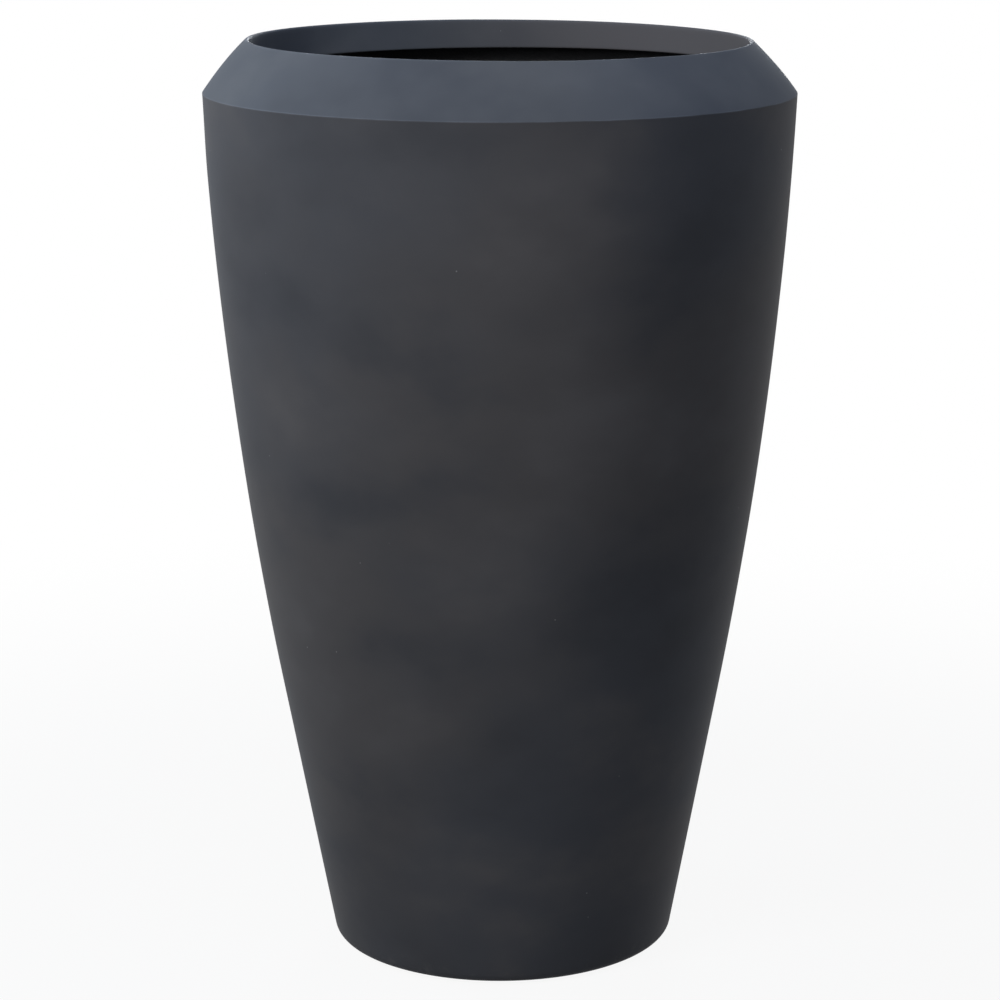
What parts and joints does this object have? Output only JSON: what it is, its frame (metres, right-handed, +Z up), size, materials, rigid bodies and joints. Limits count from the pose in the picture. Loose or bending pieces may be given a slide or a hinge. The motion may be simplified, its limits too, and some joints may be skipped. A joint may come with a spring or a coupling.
{
  "type": "tall planter",
  "caption": "Tall round tapered planter in matte charcoal glass-fibre laminate, with a sloping bonded rim collar, black sealcoat inside, bushed drain with rubber stopper, and rubber feet.",
  "frame": {"origin": "on the floor, under the middle of the base", "axes": "+Z up along the planter's own axis, from the feet to the mouth; X and Y lie level, midway between the feet"},
  "size_m": [0.5084, 0.5082, 0.8],
  "materials": {
    "gelcoat_charcoal": "matte",
    "sealcoat_black": "satin",
    "bonding_paste": "matte",
    "bush_plastic": "satin",
    "stopper_rubber": "matte",
    "foot_rubber": "matte"
  },
  "bodies": {
    "planter": {"body_shell": "gelcoat_charcoal", "rim_collar": "gelcoat_charcoal", "rim_bond": "bonding_paste", "inner_sealcoat": "sealcoat_black", "collar_sealcoat": "sealcoat_black", "drain_bush": "bush_plastic", "foot_pad_1": "foot_rubber", "foot_pad_2": "foot_rubber", "foot_pad_3": "foot_rubber", "foot_pad_4": "foot_rubber"},
    "drain_plug": {"drain_plug": "stopper_rubber"}
  },
  "joints": [
    {"name": "plug_lift", "type": "slide", "parent": "planter", "child": "drain_plug", "axis": [0, 0, 1], "range_m": [0, 0.83]}
  ]
}
